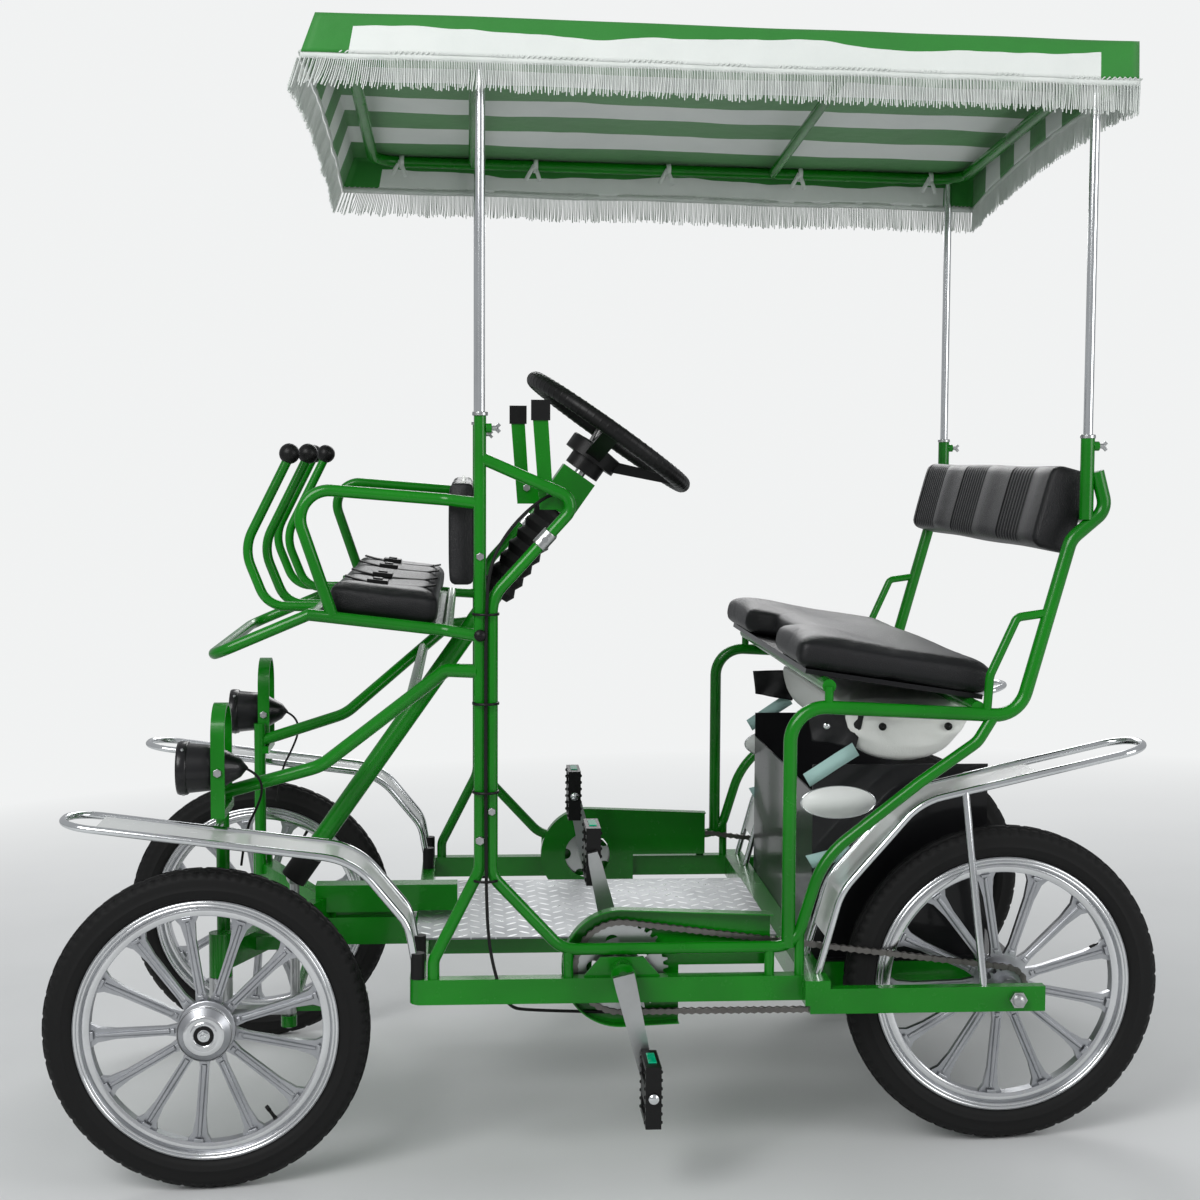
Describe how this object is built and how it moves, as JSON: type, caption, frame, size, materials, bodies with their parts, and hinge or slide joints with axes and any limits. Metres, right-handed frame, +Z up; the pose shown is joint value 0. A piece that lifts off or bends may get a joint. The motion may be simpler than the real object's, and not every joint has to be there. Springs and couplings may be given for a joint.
{
  "type": "surrey quadricycle",
  "caption": "Pedal quadricycle with a bench, a child seat in front, cast wheels, round lamps and a fringed canopy on posts.",
  "frame": {"origin": "on the ground, midway between the wheels in length and in width", "axes": "+X forward, +Y the vehicle's left, +Z up"},
  "size_m": [1.8078, 1.266, 1.8338],
  "materials": {
    "green_paint": "gloss",
    "black_paint": "satin",
    "chrome": "polished",
    "steel": "brushed",
    "chain_steel": "oiled",
    "cast_alloy": "satin cast",
    "tread_plate": "raised tread",
    "tyre": "matte",
    "rubber": "matte",
    "black_plastic": "satin",
    "black_vinyl": "grained vinyl",
    "white_vinyl": "soft vinyl",
    "fender_white": "gloss",
    "canopy_cloth": "woven stripes",
    "lens": "clear"
  },
  "bodies": {
    "chassis": {"lower_frame": "green_paint", "front_axle": "green_paint", "masts": "green_paint", "side_rails": "green_paint", "seat_frame": "green_paint", "front_struts": "green_paint", "console": "green_paint", "column_boot": "rubber", "brake_levers": "green_paint", "lever_caps": "black_plastic", "chain_guards": "green_paint", "chains": "chain_steel", "rear_axles": "steel", "fender_tubes_front": "chrome", "fender_tubes_rear": "chrome", "fender_sheets": "fender_white", "fender_boots": "rubber", "headlamps": "black_paint", "headlamp_lenses": "lens", "headlamp_yokes": "green_paint", "bench_pan": "black_paint", "bench_cushion": "black_vinyl", "backrest_cushion": "black_vinyl", "child_seat_frame": "green_paint", "grab_knobs": "black_plastic", "child_seat_cushion": "black_vinyl", "child_backrest": "black_vinyl", "floor_plate": "tread_plate", "cargo_tray": "black_paint", "stowage_bag": "white_vinyl", "canopy_frame": "green_paint", "canopy_posts": "chrome", "canopy_roof": "canopy_cloth", "canopy_valance": "canopy_cloth", "fender_stays": "chrome"},
    "knuckle_left": {"knuckle_left": "steel"},
    "knuckle_right": {"knuckle_right": "steel"},
    "tie_rod": {"tie_rod": "green_paint"},
    "drop_arm": {"drop_arm": "steel"},
    "steering": {"steering_wheel": "black_plastic", "steering_shaft": "steel", "steering_coupler": "rubber"},
    "wheel_front_left": {"rim_front_left": "cast_alloy", "tyre_front_left": "tyre"},
    "wheel_rear_left": {"rim_rear_left": "cast_alloy", "tyre_rear_left": "tyre"},
    "crank_left": {"crank_left": "steel"},
    "pedal_outer_left": {"pedal_outer_left": "black_plastic"},
    "pedal_inner_left": {"pedal_inner_left": "black_plastic"},
    "wheel_front_right": {"rim_front_right": "cast_alloy", "tyre_front_right": "tyre"},
    "wheel_rear_right": {"rim_rear_right": "cast_alloy", "tyre_rear_right": "tyre"},
    "crank_right": {"crank_right": "steel"},
    "pedal_outer_right": {"pedal_outer_right": "black_plastic"},
    "pedal_inner_right": {"pedal_inner_right": "black_plastic"}
  },
  "joints": [
    {"name": "steer_left", "type": "hinge", "parent": "chassis", "child": "knuckle_left", "pos_m": [0.62936, 0.33, 0.31782], "axis": [-0.0454, 0, 0.999], "range_deg": [-30, 30]},
    {"name": "steer_right", "type": "hinge", "parent": "chassis", "child": "knuckle_right", "pos_m": [0.62936, -0.33, 0.31782], "axis": [-0.0454, 0, 0.999], "range_deg": [-30, 30]},
    {"name": "drop_arm_turn", "type": "hinge", "parent": "chassis", "child": "drop_arm", "pos_m": [0.5161, 0.25, 0.31268], "axis": [-0.0454, 0, 0.999], "range_deg": [-30, 30]},
    {"name": "steering_wheel_turn", "type": "hinge", "parent": "chassis", "child": "steering", "pos_m": [-0.0483, 0.25, 1.18397], "axis": [-0.6115, 0, 0.7912], "range_deg": [-30, 30]},
    {"name": "tie_rod_pivot", "type": "hinge", "parent": "knuckle_left", "child": "tie_rod", "pos_m": [0.52274, 0.33, 0.24091], "axis": [-0.0454, 0, 0.999], "range_deg": [-30, 30]},
    {"name": "spin_front_left", "type": "hinge", "parent": "knuckle_left", "child": "wheel_front_left", "pos_m": [0.644, 0.413, 0.26], "axis": [0, 1, 0], "continuous": true},
    {"name": "spin_rear_left", "type": "hinge", "parent": "chassis", "child": "wheel_rear_left", "pos_m": [-0.644, 0.413, 0.26], "axis": [0, 1, 0], "continuous": true},
    {"name": "crank_turn_left", "type": "hinge", "parent": "chassis", "child": "crank_left", "pos_m": [-0.01954, 0.446, 0.3294], "axis": [0, 1, 0], "continuous": true},
    {"name": "pedal_turn_outer_left", "type": "hinge", "parent": "crank_left", "child": "pedal_outer_left", "pos_m": [-0.04933, 0.531, 0.17322], "axis": [0, 1, 0], "continuous": true},
    {"name": "pedal_turn_inner_left", "type": "hinge", "parent": "crank_left", "child": "pedal_inner_left", "pos_m": [0.01025, 0.344, 0.48558], "axis": [0, 1, 0], "continuous": true},
    {"name": "spin_front_right", "type": "hinge", "parent": "knuckle_right", "child": "wheel_front_right", "pos_m": [0.644, -0.413, 0.26], "axis": [0, 1, 0], "continuous": true},
    {"name": "spin_rear_right", "type": "hinge", "parent": "chassis", "child": "wheel_rear_right", "pos_m": [-0.644, -0.413, 0.26], "axis": [0, 1, 0], "continuous": true},
    {"name": "crank_turn_right", "type": "hinge", "parent": "chassis", "child": "crank_right", "pos_m": [-0.01954, -0.446, 0.3294], "axis": [0, 1, 0], "continuous": true},
    {"name": "pedal_turn_outer_right", "type": "hinge", "parent": "crank_right", "child": "pedal_outer_right", "pos_m": [-0.04933, -0.531, 0.17322], "axis": [0, 1, 0], "continuous": true},
    {"name": "pedal_turn_inner_right", "type": "hinge", "parent": "crank_right", "child": "pedal_inner_right", "pos_m": [0.01025, -0.344, 0.48558], "axis": [0, 1, 0], "continuous": true}
  ],
  "couplings": [
    {"joint": "steer_right", "follows": "steer_left", "ratio": 1},
    {"joint": "drop_arm_turn", "follows": "steer_left", "ratio": 1},
    {"joint": "steering_wheel_turn", "follows": "steer_left", "ratio": 1},
    {"joint": "tie_rod_pivot", "follows": "steer_left", "ratio": -1}
  ]
}
